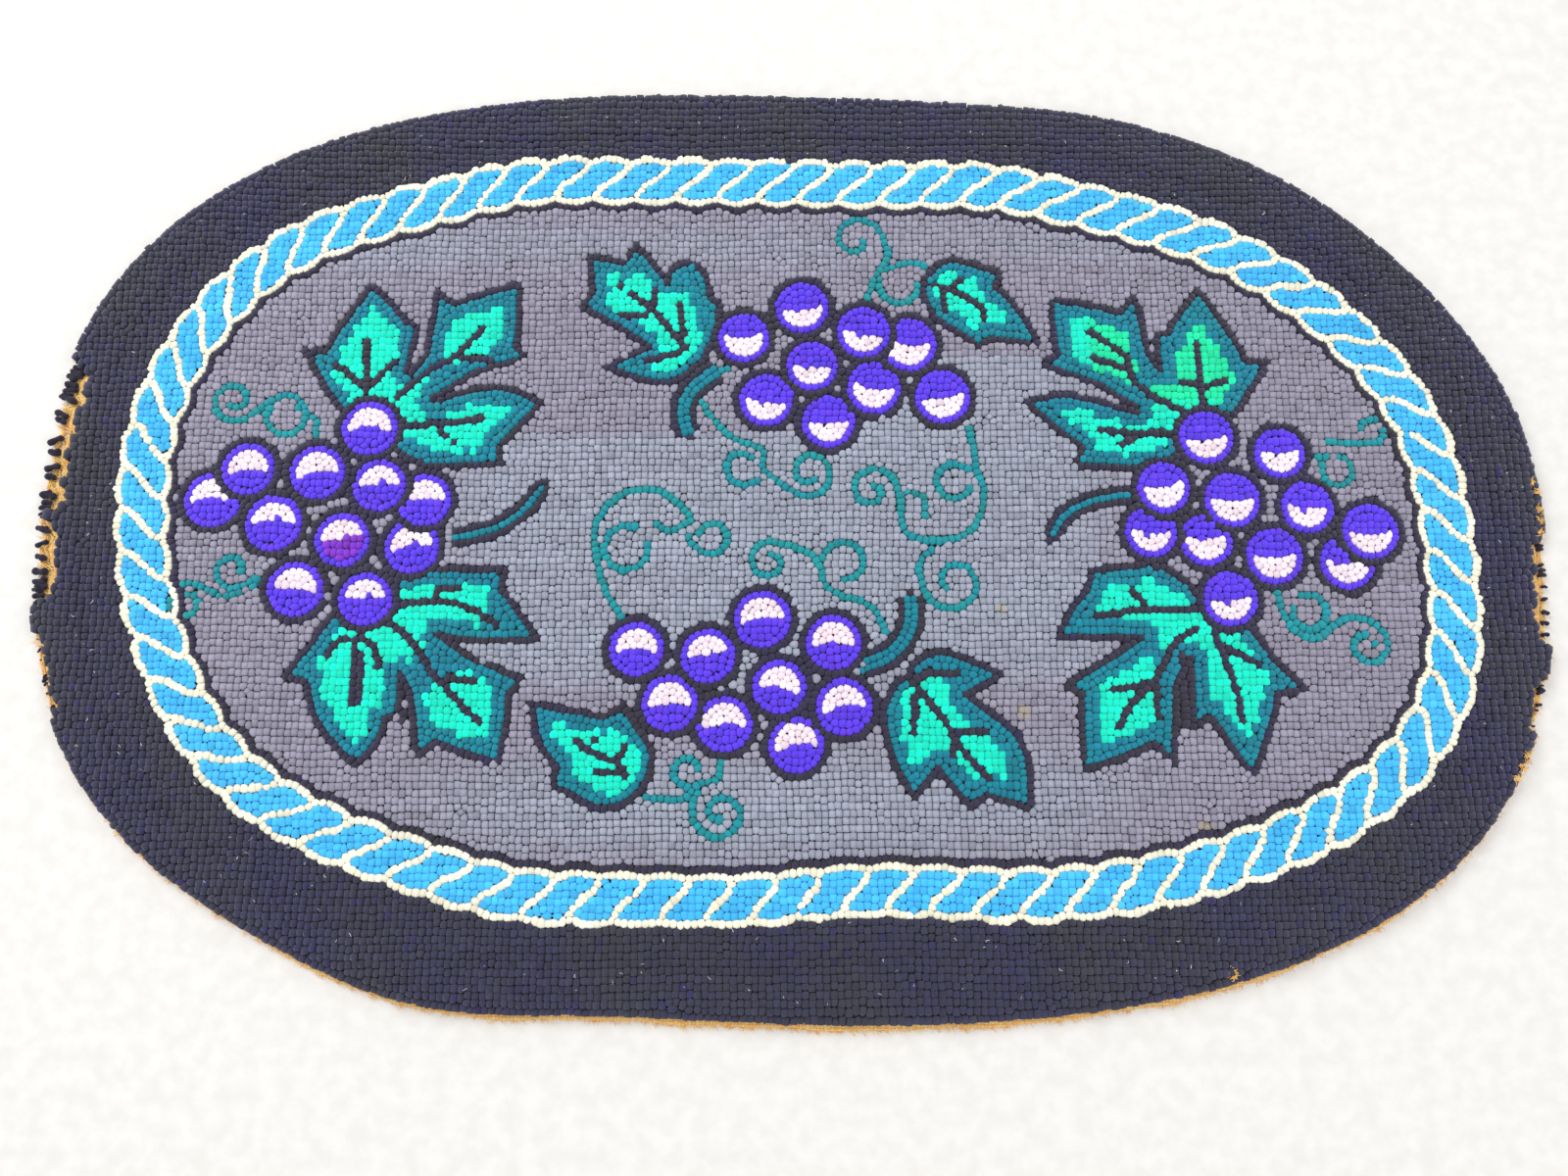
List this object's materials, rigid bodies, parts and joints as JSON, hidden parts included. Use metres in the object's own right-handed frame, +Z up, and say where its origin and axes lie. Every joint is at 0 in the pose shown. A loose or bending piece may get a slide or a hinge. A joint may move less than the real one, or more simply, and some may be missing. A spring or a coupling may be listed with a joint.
{
  "type": "oval hooked rug",
  "caption": "Oval hooked wool rug with a dark border, a blue twisted rope band and grape clusters with leaves on a grey ground, lying flat.",
  "frame": {"origin": "on the floor, under the middle of the rug's box", "axes": "+X along the rug's length, to the right in the picture; +Y across it, to the picture's top; +Z up from the floor through the pile"},
  "size_m": [0.9556, 0.602, 0.0094],
  "materials": {
    "burlap": "coarse plain weave, dry and golden tan",
    "burlap_threads": "frayed jute threads, matt",
    "ground_yarn": "matt wool loops, grey with streaks of mauve and blue",
    "border_yarn": "matt wool loops, blue black",
    "rope_yarn": "matt wool loops, bright blue",
    "cream_yarn": "matt wool loops, cream",
    "grape_yarn": "matt wool loops, violet",
    "highlight_yarn": "matt wool loops, pinkish cream",
    "leaf_yarn": "matt wool loops, bright green",
    "teal_yarn": "matt wool loops, teal"
  },
  "bodies": {
    "root": {"ground_cloth": "burlap", "hooked_pile": "ground_yarn", "frayed_edge_left": "burlap_threads", "frayed_edge_left_low": "burlap_threads", "frayed_edge_right": "burlap_threads", "frayed_edge_right_low": "burlap_threads"}
  },
  "joints": []
}
